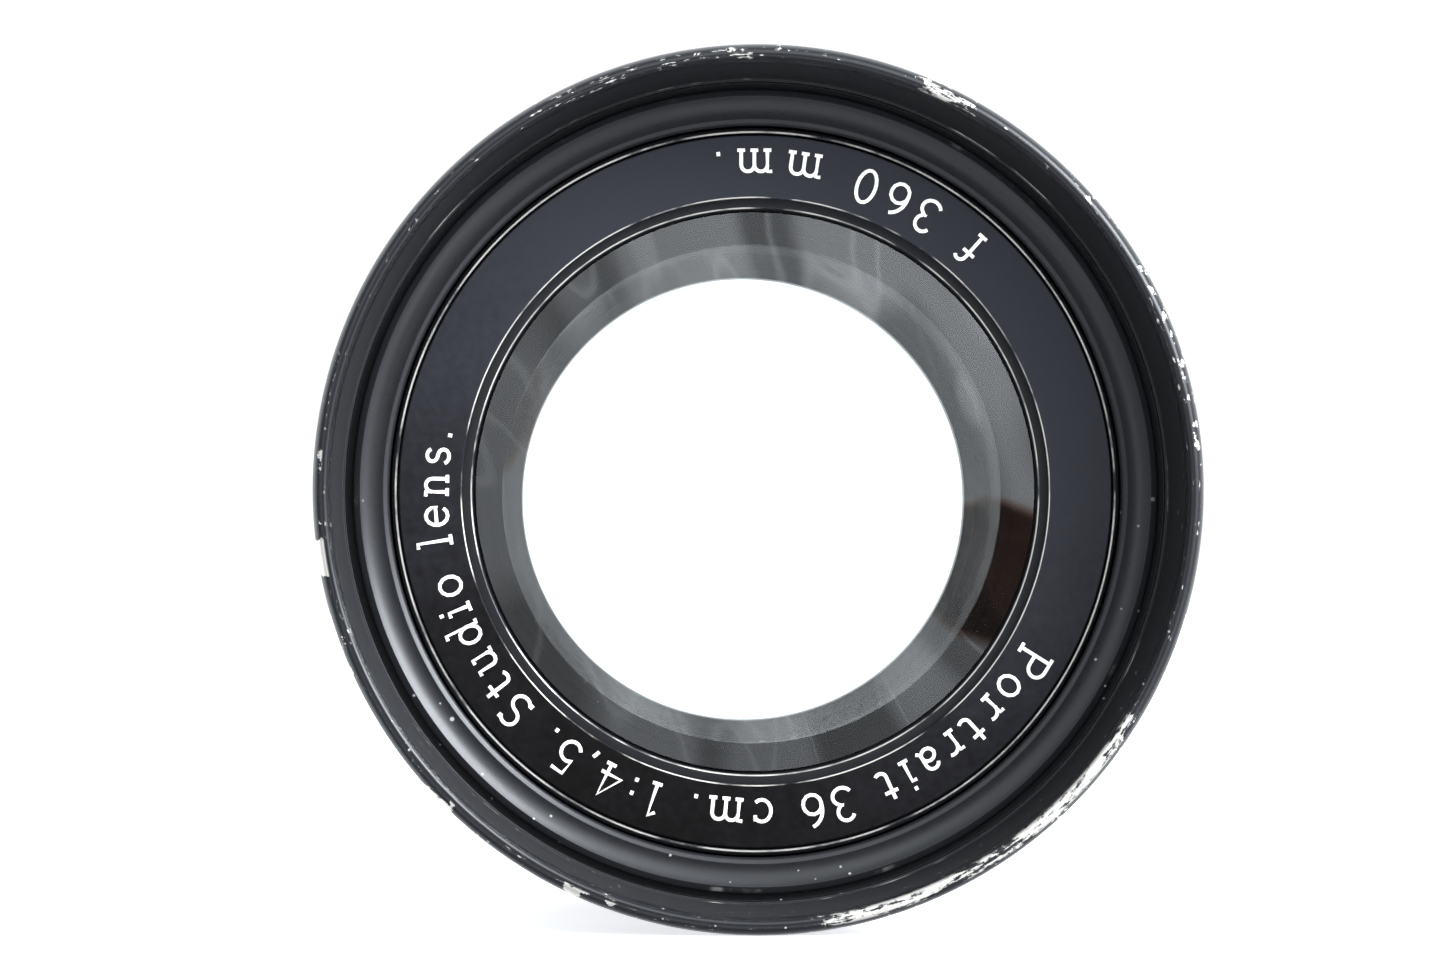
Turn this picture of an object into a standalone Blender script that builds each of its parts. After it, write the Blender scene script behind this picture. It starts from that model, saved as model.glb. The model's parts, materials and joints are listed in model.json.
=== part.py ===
"""Large portrait lens for a studio camera, in black-lacquered brass.

The optical axis is Y, with the front of the lens towards -Y and +Z up. The lens lies on its side on
its front bead and its flange. Stations run along the axis from the front vertex of the front glass.
All sizes below are in millimetres, and METRE turns them into the metres of the scene.
"""

import math

import bmesh
import bpy
from mathutils import Matrix, Vector

METRE = 0.001
SIDES = 40  # flats on a turned ring, one of them facing straight down
INNER_SIDES = 32  # on the glasses and the rings inside
GAP = 0.3  # between neighbouring pieces

# The whole lens
FRONT = -15.0
REAR = 96.0
MIDDLE = (FRONT + REAR) / 2
RIM_R = 64.0

# Front hood: a rolled bead, a deep wall, a step, a groove and a shallow cove round the well
CREST_R = 62.4
BEAD_S = 2.6  # from the front of the bead to its widest part
WALL_R = 61.4, 60.6
STEP_S = 2.6
GROOVE_R, GROOVE_S = 60.2, 4.2
COVE_LIP_R, COVE_LIP_S = 58.6, 2.4
COVE_R = 5.4
COVE_TURN = 38  # degrees that the cove turns up by, from its flat inner edge
WELL_R = 54.7
HEAD_R, HEAD_S = 53.5, 4.2
SEAT_R = 42.8
NAME_RING_R = 43.2, 52.4
NAME_RING_S = 4.6, 6.1
FRONT_RETAINER_S = 6.4, 7.5
FRONT_GLASS_R = 42.5
LIP_S = 24.3

# Barrel
BORE_R = 52.4
BARREL_R = 56.0
COLLAR_R = 58.5
BARREL_S = 12.0, 80.0
COLLAR_S = 12.0, 18.0
SHOULDER_S = 42.0, 44.7
SCREWED_R = BORE_R - GAP

# Middle glass
MIDDLE_GLASS_R = 36.0
MIDDLE_TUBE_R = 36.3, 39.5

# Iris
BLADES = 16
PIN_CIRCLE_R = 46.0
PIN_R = 0.9
HOLE_R = 1.2
BLADE_SPAN = math.radians(135)  # from the pivot pin to the drive pin, round the blade's own arc
OPEN_R = 36.5
BLADE_OUTER_R = 50.0
BLADE_END_R = 4.5
BLADE_EASE = math.radians(14)
BLADE_STEPS = 18
BLADE_THICKNESS = 0.13
BLADE_RISE = 2.5  # mm forward for each radian along the blade, so that the blades pass each other
SMALLEST_R = OPEN_R * 4.5 / 18  # stopped down from 1:4,5 to 1:18
PIVOT_S = 62.8
CAM_RING_R = 37.0, 51.8
CAM_RING_S = 52.2, 55.9
CLAMP_RING_S = 49.2, 51.9
BASE_RING_S = 63.4, 65.9
IRIS_LIP_S = 66.2, 68.2
IRIS_LIP_R = 47.6

# Aperture ring and what stands behind it
APERTURE_RING_R = 56.3, 60.5
APERTURE_RING_S = 45.0, 66.0
DRIVE_ANGLES = 56.25, 236.25
DRIVE_SCREW_R = 49.6, 58.6, 60.2  # its tip, the seat of its head and the top of its head
DRIVE_HEAD_R = 2.0
COLLAR_RING_R = 59.5
COLLAR_RING_S = 66.3, 69.6
FLANGE_R = 64.0
FLANGE_S = 70.0, 73.5
FLANGE_HOLES = 6
FLANGE_HOLE_R = 2.1
FLANGE_HOLE_CIRCLE_R = 60.0
BASE_SCREWS = 3
BASE_SCREW_CIRCLE_R = 49.9
BASE_SCREW_S = 64.0, 68.5, 69.8
BASE_HEAD_R = 1.8

# Rear cell
REAR_GLASS_R = 38.0
REAR_SEAT_R = 38.3
REAR_BORE_R = 40.8
REAR_RETAINER_S = 83.2, 86.5

FINISHES = {
    "black_lacquer": ((0.012, 0.013, 0.016), 0.28, 0.0),
    "satin_black": ((0.02, 0.021, 0.024), 0.5, 0.0),
    "iris_black": ((0.015, 0.015, 0.016), 0.6, 0.3),
    "steel": ((0.35, 0.36, 0.38), 0.35, 1.0),
    "lens_glass": ((0.86, 0.93, 0.9), 0.02, 0.0),
}


def closing_angle(opening):
    """How far a blade turns about its pivot pin to leave an opening of this radius."""
    return 2 * math.asin((OPEN_R - opening) / (2 * PIN_CIRCLE_R))


def drive_pin(turn):
    """Where the drive pin of the first blade is, with its pivot pin on +X: (radius, angle)."""
    chord = 2 * PIN_CIRCLE_R * math.sin(BLADE_SPAN / 2)
    heading = math.pi / 2 + BLADE_SPAN / 2 + turn
    x = PIN_CIRCLE_R + chord * math.cos(heading)
    z = chord * math.sin(heading)
    return math.hypot(x, z), math.atan2(z, x) % (2 * math.pi)


BLADE_TURN = closing_angle(SMALLEST_R)
RING_TURN = drive_pin(BLADE_TURN)[1] - BLADE_SPAN


def along(station):
    return (station - MIDDLE) * METRE


def at(radius, angle, station):
    """A point in the scene. The angle runs from +X towards +Z."""
    return Vector((radius * METRE * math.cos(angle), along(station), radius * METRE * math.sin(angle)))


def arc(centre, radii, start, end, steps):
    """Points on an ellipse in the plane of an outline, from one angle in degrees to another."""
    angles = [math.radians(start + (end - start) * i / steps) for i in range(steps + 1)]
    return [(centre[0] + radii[0] * math.cos(a), centre[1] + radii[1] * math.sin(a)) for a in angles]


def box_outline(radii, stations):
    (inner, outer), (front, rear) = radii, stations
    return [(inner, front), (outer, front), (outer, rear), (inner, rear)]


def sphere_points(vertex, curve, edge_r, steps=3):
    """Points on a lens surface from vertex to edge. curve is its radius, positive if it bulges forward."""
    radii = [edge_r * i / steps for i in range(steps + 1)]
    sign = math.copysign(1, curve)
    return [(r, vertex + curve - sign * math.sqrt(curve**2 - r**2)) for r in radii]


def material(finish):
    made = bpy.data.materials.get(finish)
    if made:
        return made
    colour, roughness, metallic = FINISHES[finish]
    made = bpy.data.materials.new(finish)
    made.use_nodes = True
    shader = made.node_tree.nodes["Principled BSDF"]
    shader.inputs["Base Color"].default_value = (*colour, 1)
    shader.inputs["Roughness"].default_value = roughness
    shader.inputs["Metallic"].default_value = metallic
    if finish == "lens_glass":
        shader.inputs["Transmission Weight"].default_value = 1.0
    return made


def add_object(name, bm, finish=None):
    """Makes an object of the bmesh. Without a finish it is a helper that isn't part of the lens."""
    bmesh.ops.recalc_face_normals(bm, faces=bm.faces)
    mesh = bpy.data.meshes.new(name)
    bm.to_mesh(mesh)
    bm.free()
    obj = bpy.data.objects.new(name, mesh)
    bpy.context.scene.collection.objects.link(obj)
    if finish:
        mesh.materials.append(material(finish))
        mesh.shade_smooth()
        mesh.set_sharp_from_angle(angle=math.radians(30))
    else:
        obj.hide_render = True
        obj.display_type = "WIRE"
    return obj


def spin_outline(bm, outline, sides, start, turn, steps):
    """Turns an outline of (radius, station) points about the axis. Radii are measured to the flats."""
    to_corner = 1 / math.cos(math.pi / sides)
    points = [bm.verts.new(at(r * to_corner, start, s)) for r, s in outline]
    pairs = list(zip(points, points[1:]))
    if outline[0][0] or outline[-1][0]:
        pairs.append((points[-1], points[0]))
    edges = [bm.edges.new(pair) for pair in pairs]
    full = turn >= 2 * math.pi
    bmesh.ops.spin(
        bm,
        geom=points + edges,
        axis=(0, -1, 0),
        cent=(0, 0, 0),
        angle=turn,
        steps=steps,
        use_merge=full,
    )
    return points


def turned(name, outline, finish, sides=SIDES):
    bm = bmesh.new()
    spin_outline(bm, outline, sides, math.pi / sides, 2 * math.pi, sides)
    bmesh.ops.remove_doubles(bm, verts=bm.verts, dist=1e-7)
    return add_object(name, bm, finish)


def cut(obj, cutter):
    modifier = obj.modifiers.new(cutter.name, "BOOLEAN")
    modifier.operation = "DIFFERENCE"
    modifier.object = cutter


def add_cylinder(bm, radius, start, end, sides=10):
    """A closed cylinder between two points of the scene."""
    run = end - start
    place = Matrix.Translation((start + end) / 2) @ run.to_track_quat("Z", "Y").to_matrix().to_4x4()
    bmesh.ops.create_cone(
        bm,
        cap_ends=True,
        segments=sides,
        radius1=radius * METRE,
        radius2=radius * METRE,
        depth=run.length,
        matrix=place,
    )


def axial_holes(name, radius, circle_r, count, stations, first=0.0, sides=10):
    bm = bmesh.new()
    for i in range(count):
        angle = first + 2 * math.pi * i / count
        add_cylinder(bm, radius, at(circle_r, angle, stations[0]), at(circle_r, angle, stations[1]), sides)
    return add_object(name, bm)


def radial_holes(name, radius, near, far):
    """One hole of this radius for each of the two drive screws, between two distances from the axis."""
    bm = bmesh.new()
    middle = sum(CAM_RING_S) / 2
    for angle in map(math.radians, DRIVE_ANGLES):
        add_cylinder(bm, radius, at(near, angle, middle), at(far, angle, middle))
    return add_object(name, bm)


def base_screw_first():
    """The base screws stand half-way between two pivot pins."""
    return math.pi / 2 + math.pi / BLADES


def base_screw_holes(name, stations):
    front, rear = stations
    through = front - 1, rear + 1
    return axial_holes(name, HOLE_R, BASE_SCREW_CIRCLE_R, BASE_SCREWS, through, base_screw_first())


def joined(obj, other, operation="UNION"):
    """Applies one Boolean at once and removes the other object."""
    modifier = obj.modifiers.new("joined", "BOOLEAN")
    modifier.operation = operation
    modifier.object = other
    graph = bpy.context.evaluated_depsgraph_get()
    mesh = bpy.data.meshes.new_from_object(obj.evaluated_get(graph))
    obj.modifiers.clear()
    obj.data = mesh
    bpy.data.objects.remove(other)
    return obj


# Front


def front_hood():
    crest = arc((CREST_R, FRONT + BEAD_S), (RIM_R - CREST_R, BEAD_S), -90, 0, 3)
    under_bead = [(RIM_R, FRONT + 5.1), (61.9, FRONT + 6.9)]
    skirt = [(61.0, 17.0), (COLLAR_R + GAP, 17.0), (COLLAR_R + GAP, BARREL_S[0] - GAP)]
    cove_floor = COVE_LIP_S + COVE_R * (1 - math.cos(math.radians(COVE_TURN)))
    well = [(HEAD_R + GAP, BARREL_S[0] - GAP), (HEAD_R + GAP, cove_floor + 0.8), (WELL_R, cove_floor + 0.3)]
    cove = arc((WELL_R, cove_floor - COVE_R), (COVE_R, COVE_R), 90, 90 - COVE_TURN, 3)
    groove = [(COVE_LIP_R, COVE_LIP_S), (COVE_LIP_R + 0.3, GROOVE_S)]
    groove += [(GROOVE_R, GROOVE_S), (GROOVE_R, STEP_S)]
    wall = [(WALL_R[1], STEP_S), (WALL_R[0], FRONT + 1.2)]
    turned("front_hood", crest + under_bead + skirt + well + cove + groove + wall, "black_lacquer")


def front_cell():
    thread_end = 30.0
    head = [(52.7, HEAD_S), (HEAD_R - 0.4, HEAD_S), (HEAD_R, HEAD_S + 0.4), (HEAD_R, BARREL_S[0] - GAP)]
    thread = [(SCREWED_R, BARREL_S[0] - GAP), (SCREWED_R, thread_end), (49.8, thread_end), (49.8, 13.5)]
    inner_wall = [(45.2, 13.5), (45.2, LIP_S + 2.5), (40.5, LIP_S + 2.5), (40.5, LIP_S)]
    retainer_floor = FRONT_RETAINER_S[1] + GAP
    seat = [(SEAT_R, LIP_S), (SEAT_R, retainer_floor), (47.3, retainer_floor), (47.3, NAME_RING_S[1] + GAP)]
    turned("front_cell", head + thread + inner_wall + seat + [(52.7, NAME_RING_S[1] + GAP)], "black_lacquer")


def front_rings():
    turned("name_ring", box_outline(NAME_RING_R, NAME_RING_S), "satin_black", INNER_SIDES)
    front, rear = FRONT_RETAINER_S
    bevelled = [(41.9, front), (47.0, front), (47.0, rear), (41.3, rear), (41.3, front + 0.7)]
    turned("front_retaining_ring", bevelled, "black_lacquer", INNER_SIDES)


def lens_glass(name, front, rear, edge_r):
    """front and rear are (vertex station, radius of curvature)."""
    outline = sphere_points(*front, edge_r) + sphere_points(*rear, edge_r)[::-1]
    turned(name, outline, "lens_glass", INNER_SIDES)


def glasses():
    lens_glass("front_crown_lens", (0.0, 111.0), (17.8, -322.0), FRONT_GLASS_R)
    lens_glass("front_flint_lens", (17.8 + GAP, -322.0), (23.5, 2089.0), FRONT_GLASS_R)
    lens_glass("middle_element", (37.1, -290.0), (42.5, 102.0), MIDDLE_GLASS_R)
    lens_glass("rear_flint_lens", (68.5, -4000.0), (72.1, 116.0), REAR_GLASS_R)
    lens_glass("rear_crown_lens", (72.1 + GAP, 116.0), (86.4, -191.0), REAR_GLASS_R)


def middle_group():
    inner, outer = MIDDLE_TUBE_R
    tube = [(inner, 31.2), (outer, 31.2), (outer, 38.0)]
    disc = [(SCREWED_R, 38.0), (SCREWED_R, 42.0), (outer, 42.0)]
    rear_lip = [(outer, 50.9), (34.5, 50.9), (34.5, 49.4), (inner, 49.4)]
    turned("middle_cell", tube + disc + rear_lip, "iris_black", INNER_SIDES)
    turned("middle_retaining_ring", box_outline((34.3, inner - GAP), (32.0, 34.5)), "iris_black", INNER_SIDES)


# Barrel


def main_barrel():
    front = [(BORE_R, BARREL_S[0]), (COLLAR_R, COLLAR_S[0]), (COLLAR_R, COLLAR_S[1]), (BARREL_R, COLLAR_S[1])]
    shoulder = [(BARREL_R, SHOULDER_S[0]), (COLLAR_R, SHOULDER_S[0])]
    shoulder += [(COLLAR_R, SHOULDER_S[1]), (BARREL_R, SHOULDER_S[1])]
    rear = [(BARREL_R, BARREL_S[1]), (BORE_R, BARREL_S[1])]
    lip = [(BORE_R, IRIS_LIP_S[1]), (IRIS_LIP_R, IRIS_LIP_S[1])]
    lip += [(IRIS_LIP_R, IRIS_LIP_S[0]), (BORE_R, IRIS_LIP_S[0])]
    barrel = turned("main_barrel", front + shoulder + rear + lip, "black_lacquer")

    bm = bmesh.new()
    middle = sum(CAM_RING_S) / 2
    slot = box_outline((BORE_R - 2, BARREL_R + 2), (middle - 1.9, middle + 1.9))
    margin = math.radians(2.6)
    for angle in map(math.radians, DRIVE_ANGLES):
        start = spin_outline(bm, slot, SIDES, angle - margin, RING_TURN + 2 * margin, 12)
        bm.faces.new(start)
    bmesh.ops.holes_fill(bm, edges=[e for e in bm.edges if e.is_boundary])
    cut(barrel, add_object("drive_slots", bm))
    cut(barrel, base_screw_holes("lip_holes", IRIS_LIP_S))


def aperture_ring():
    ring = turned("aperture_ring", box_outline(APERTURE_RING_R, APERTURE_RING_S), "black_lacquer")
    inside, outside = APERTURE_RING_R[0] - 2, APERTURE_RING_R[1] + 2
    cut(ring, radial_holes("drive_screw_holes", HOLE_R, inside, outside))
    cut(ring, radial_holes("drive_screw_wells", DRIVE_HEAD_R + GAP, DRIVE_SCREW_R[1] - GAP, outside))


def collar_and_flange():
    inner = BARREL_R + GAP
    turned("collar_ring", box_outline((inner, COLLAR_RING_R), COLLAR_RING_S), "black_lacquer")
    flange = turned("flange_ring", box_outline((inner, FLANGE_R), FLANGE_S), "black_lacquer")
    cutter = axial_holes(
        "flange_holes",
        FLANGE_HOLE_R,
        FLANGE_HOLE_CIRCLE_R,
        FLANGE_HOLES,
        (FLANGE_S[0] - 2, FLANGE_S[1] + 2),
        math.radians(30),
        12,
    )
    cut(flange, cutter)


# Iris


def blade_edges(angle):
    """Inner and outer radius of a blade at this angle from its pivot pin, round its own arc."""
    beyond = max(-angle, angle - BLADE_SPAN)
    if beyond > 0:
        half = math.sqrt(BLADE_END_R**2 - (beyond * PIN_CIRCLE_R) ** 2)
        return PIN_CIRCLE_R - half, PIN_CIRCLE_R + half
    ease = min(1.0, -beyond / BLADE_EASE)
    blend = (1 - math.cos(math.pi * ease)) / 2
    inner = PIN_CIRCLE_R - BLADE_END_R
    outer = PIN_CIRCLE_R + BLADE_END_R
    return inner + (OPEN_R - inner) * blend, outer + (BLADE_OUTER_R - outer) * blend


def blade_angles():
    cap = BLADE_END_R / PIN_CIRCLE_R
    start = [-cap * math.cos(math.radians(a)) for a in (20, 50)]
    main = [BLADE_SPAN * i / BLADE_STEPS for i in range(BLADE_STEPS + 1)]
    return start + main + [BLADE_SPAN - a for a in reversed(start)]


def blade_plate():
    """A blade in the place of the first one, about the axis: a thin band that climbs towards the front."""
    bm = bmesh.new()
    rows = []
    for angle in blade_angles():
        station = PIVOT_S - BLADE_RISE * angle
        inner, outer = blade_edges(angle)
        corners = [
            (inner, station),
            (outer, station),
            (outer, station + BLADE_THICKNESS),
            (inner, station + BLADE_THICKNESS),
        ]
        rows.append([bm.verts.new(at(r, angle, s)) for r, s in corners])
    for row, following in zip(rows, rows[1:]):
        for i in range(4):
            bm.faces.new((row[i - 1], row[i], following[i], following[i - 1]))
    bm.faces.new(rows[0])
    bm.faces.new(rows[-1][::-1])
    return add_object("blade_plate", bm)


def blade_pins():
    bm = bmesh.new()
    inside = BLADE_THICKNESS / 2
    drive_s = PIVOT_S - BLADE_RISE * BLADE_SPAN
    reach = ((0, PIVOT_S, BASE_RING_S[1] - 0.4), (BLADE_SPAN, drive_s, CAM_RING_S[0] + 0.4))
    for angle, root, end in reach:
        start = at(PIN_CIRCLE_R, angle, root + inside)
        add_cylinder(bm, PIN_R, start, at(PIN_CIRCLE_R, angle, end), 8)
    return add_object("blade_pins", bm)


def iris_blades():
    blade = joined(blade_plate(), blade_pins())
    mesh = blade.data
    pivot = at(PIN_CIRCLE_R, 0, PIVOT_S)
    mesh.transform(Matrix.Translation(-pivot))
    mesh.materials.append(material("iris_black"))
    bpy.data.objects.remove(blade)
    for i in range(BLADES):
        angle = 2 * math.pi * i / BLADES
        obj = bpy.data.objects.new(f"iris_blade_{i + 1:02d}", mesh)
        obj.location = at(PIN_CIRCLE_R, angle, PIVOT_S)
        obj.rotation_euler = (0, -angle, 0)
        bpy.context.scene.collection.objects.link(obj)


def cam_slots():
    """Sixteen radial slots, one for each drive pin, over the pin's whole travel in and back out."""
    turns = [BLADE_TURN * i / 60 for i in range(61)]
    reach = [drive_pin(t)[0] for t in turns]
    lag = [drive_pin(t)[1] - BLADE_SPAN - t * RING_TURN / BLADE_TURN for t in turns]
    centre = BLADE_SPAN + (min(lag) + max(lag)) / 2
    half_width = PIN_R + (max(lag) - min(lag)) / 2 * PIN_CIRCLE_R + GAP
    bm = bmesh.new()
    for i in range(BLADES):
        turn = Matrix.Rotation(-(centre + 2 * math.pi * i / BLADES), 4, "Y")
        outline = arc((min(reach), 0), (half_width, half_width), 90, 270, 3)
        outline += arc((max(reach), 0), (half_width, half_width), -90, 90, 3)
        corners = [Vector((x * METRE, along(CAM_RING_S[0] - 1), z * METRE)) for x, z in outline]
        face = bm.faces.new([bm.verts.new(turn @ corner) for corner in corners])
        made = bmesh.ops.extrude_face_region(bm, geom=[face])["geom"]
        moved = [v for v in made if isinstance(v, bmesh.types.BMVert)]
        bmesh.ops.translate(bm, vec=(0, (CAM_RING_S[1] - CAM_RING_S[0] + 2) * METRE, 0), verts=moved)
    return add_object("cam_slots", bm)


def iris_rings():
    cam_ring = turned("iris_cam_ring", box_outline(CAM_RING_R, CAM_RING_S), "iris_black", INNER_SIDES)
    cut(cam_ring, cam_slots())
    cut(cam_ring, radial_holes("cam_screw_holes", HOLE_R, DRIVE_SCREW_R[0] - 0.4, CAM_RING_R[1] + 2))
    turned("iris_clamp_ring", box_outline((48.6, SCREWED_R), CLAMP_RING_S), "iris_black", INNER_SIDES)
    base_outline = box_outline((CAM_RING_R[0], SCREWED_R), BASE_RING_S)
    base_ring = turned("iris_base_ring", base_outline, "iris_black", INNER_SIDES)
    through = BASE_RING_S[0] - 1, BASE_RING_S[1] + 1
    cut(base_ring, axial_holes("pivot_holes", HOLE_R, PIN_CIRCLE_R, BLADES, through, 0.0, 8))
    cut(base_ring, base_screw_holes("base_holes", BASE_RING_S))


def screw(name, tip, seat, top, shank_r, head_r):
    """A cheese-head screw from its tip to the seat of its head and the top of its head."""
    bm = bmesh.new()
    add_cylinder(bm, shank_r, tip, seat.lerp(top, 0.5))
    body = add_object(name, bm, "steel")
    bm = bmesh.new()
    add_cylinder(bm, head_r, seat, top, 12)
    joined(body, add_object("head", bm))
    run = (top - seat).normalized()
    bm = bmesh.new()
    bmesh.ops.create_cube(bm, size=1)
    bmesh.ops.scale(bm, vec=Vector((0.5, 6, 0.9)) * METRE, verts=bm.verts)
    turn = run.to_track_quat("Z", "Y").to_matrix().to_4x4()
    bmesh.ops.transform(bm, matrix=Matrix.Translation(top) @ turn, verts=bm.verts)
    joined(body, add_object("driver_slot", bm), "DIFFERENCE")
    body.data.materials.clear()
    body.data.materials.append(material("steel"))


def screws():
    middle = sum(CAM_RING_S) / 2
    for i, angle in enumerate(map(math.radians, DRIVE_ANGLES)):
        places = (at(r, angle, middle) for r in DRIVE_SCREW_R)
        screw(f"drive_screw_{i + 1}", *places, PIN_R, DRIVE_HEAD_R)
    for i in range(BASE_SCREWS):
        angle = base_screw_first() + 2 * math.pi * i / BASE_SCREWS
        places = (at(BASE_SCREW_CIRCLE_R, angle, s) for s in BASE_SCREW_S)
        screw(f"iris_base_screw_{i + 1}", *places, PIN_R, BASE_HEAD_R)


# Rear


def rear_cell():
    nose = [(36.9, 66.5), (42.5, 66.5), (42.5, 76.0), (49.3, 76.0), (49.3, 71.0), (SCREWED_R, 71.0)]
    shoulder_s = BARREL_S[1] + GAP
    body = [(SCREWED_R, shoulder_s), (55.5, shoulder_s), (55.5, 85.5), (49.5, 87.0), (47.6, REAR)]
    recess = [(43.4, REAR), (REAR_BORE_R, 91.5), (REAR_BORE_R, 82.9), (REAR_SEAT_R, 82.9)]
    turned("rear_cell", nose + body + recess + [(REAR_SEAT_R, 68.2), (36.9, 68.2)], "black_lacquer")
    ring_r = 36.3, REAR_BORE_R - GAP
    turned("rear_retaining_ring", box_outline(ring_r, REAR_RETAINER_S), "black_lacquer", INNER_SIDES)


def main():
    for obj in list(bpy.data.objects):
        bpy.data.objects.remove(obj)
    bpy.context.scene.unit_settings.scale_length = 1.0
    front_hood()
    front_cell()
    front_rings()
    glasses()
    middle_group()
    main_barrel()
    aperture_ring()
    collar_and_flange()
    iris_rings()
    iris_blades()
    screws()
    rear_cell()


main()
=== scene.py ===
import json
import math

import bpy
from mathutils import Matrix, Vector


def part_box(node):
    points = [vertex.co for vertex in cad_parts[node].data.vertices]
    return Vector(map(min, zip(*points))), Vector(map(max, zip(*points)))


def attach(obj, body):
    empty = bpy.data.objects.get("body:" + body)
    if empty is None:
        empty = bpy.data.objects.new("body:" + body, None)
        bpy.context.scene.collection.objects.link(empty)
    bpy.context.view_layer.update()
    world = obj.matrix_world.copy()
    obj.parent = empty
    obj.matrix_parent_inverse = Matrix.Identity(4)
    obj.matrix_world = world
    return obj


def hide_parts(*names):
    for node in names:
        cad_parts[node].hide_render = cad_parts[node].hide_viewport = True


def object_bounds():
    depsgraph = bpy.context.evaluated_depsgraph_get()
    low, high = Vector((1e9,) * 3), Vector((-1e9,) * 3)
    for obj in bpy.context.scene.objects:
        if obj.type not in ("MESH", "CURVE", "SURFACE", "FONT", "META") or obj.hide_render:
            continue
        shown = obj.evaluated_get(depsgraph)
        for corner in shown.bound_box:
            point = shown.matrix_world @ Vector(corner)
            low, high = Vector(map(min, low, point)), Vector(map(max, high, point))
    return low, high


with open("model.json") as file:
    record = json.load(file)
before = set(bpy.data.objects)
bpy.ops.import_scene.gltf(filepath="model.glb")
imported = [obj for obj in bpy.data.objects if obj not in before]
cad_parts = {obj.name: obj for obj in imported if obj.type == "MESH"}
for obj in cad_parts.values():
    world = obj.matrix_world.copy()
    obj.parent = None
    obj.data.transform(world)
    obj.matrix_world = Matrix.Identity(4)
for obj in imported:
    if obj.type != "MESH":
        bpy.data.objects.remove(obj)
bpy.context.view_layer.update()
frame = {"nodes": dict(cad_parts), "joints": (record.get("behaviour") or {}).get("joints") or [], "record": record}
print("frame loaded")

mm = 0.001
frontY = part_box("front_crown_lens")[0].y  # stations, in mm, run back from the front vertex of the front glass
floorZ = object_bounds()[0].z


# Small helpers for modelling


def extent(node):  # outer radius, front station and rear station of a turned node, in mm
    low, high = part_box(node)
    return high.z / mm, (low.y - frontY) / mm, (high.y - frontY) / mm


def deselect():
    if bpy.context.mode != "OBJECT":
        bpy.ops.object.mode_set(mode="OBJECT")
    bpy.ops.object.select_all(action="DESELECT")


def pick(piece):
    deselect()
    piece.hide_viewport = False
    piece.select_set(True)
    bpy.context.view_layer.objects.active = piece


def selectPoints(piece, wanted):  # leaves the piece in edit mode with just those vertices selected
    pick(piece)
    bpy.ops.object.mode_set(mode="EDIT")
    bpy.ops.mesh.select_mode(type="VERT")
    bpy.ops.mesh.select_all(action="DESELECT")
    bpy.ops.object.mode_set(mode="OBJECT")
    for point in piece.data.vertices:
        point.select = wanted(point.co)
    bpy.ops.object.mode_set(mode="EDIT")


def settle(piece, angle=35):  # place and scale go into the mesh, faces point out, shading is set
    pick(piece)
    bpy.ops.object.transform_apply(location=True, rotation=True, scale=True)
    bpy.ops.object.mode_set(mode="EDIT")
    bpy.ops.mesh.select_all(action="SELECT")
    bpy.ops.mesh.remove_doubles(threshold=0.000002)
    bpy.ops.mesh.normals_make_consistent(inside=False)
    bpy.ops.object.mode_set(mode="OBJECT")
    bpy.ops.object.shade_smooth_by_angle(angle=math.radians(angle))
    return piece


def cutAway(piece, cutter):
    pick(piece)
    cut = piece.modifiers.new("cut", "BOOLEAN")
    cut.operation = "DIFFERENCE"
    cut.object = cutter
    bpy.ops.object.modifier_apply(modifier=cut.name)
    bpy.data.objects.remove(cutter)


def hang(piece, body, slot, finish, *nodes):  # its finish, its body and the nodes that it stands for
    piece.data.materials.clear()
    piece.data.materials.append(finish)
    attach(piece, body)
    if nodes:
        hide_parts(*nodes)


def bow(x, y, rx, ry, start, end, parts=12):  # points on an ellipse, angles in degrees
    turns = [math.radians(start + (end - start) * i / parts) for i in range(parts + 1)]
    return [(x + rx * math.cos(t), y + ry * math.sin(t)) for t in turns]


def soften(outline, radius=0.15):  # rounds each corner of a closed outline, with a holding point on each side
    made = []
    for before, corner, after in zip(outline[-1:] + outline[:-1], outline, outline[1:] + outline[:1]):
        p, c, n = Vector(before), Vector(corner), Vector(after)
        back, ahead = p - c, n - c
        if back.angle(ahead, math.pi) > math.radians(155):
            made.append(corner)
            continue
        reach = min(radius, 0.3 * back.length, 0.3 * ahead.length)
        a, b = c + back.normalized() * reach, c + ahead.normalized() * reach
        made.append(tuple(c + back.normalized() * reach * 1.4))
        for t in (0, 0.25, 0.5, 0.75, 1):
            made.append(tuple(a * (1 - t) ** 2 + c * 2 * t * (1 - t) + b * t**2))
        made.append(tuple(c + ahead.normalized() * reach * 1.4))
    return made


def flatRing(inner, outer, front, rear):
    return [(inner, front), (outer, front), (outer, rear), (inner, rear)]


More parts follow.
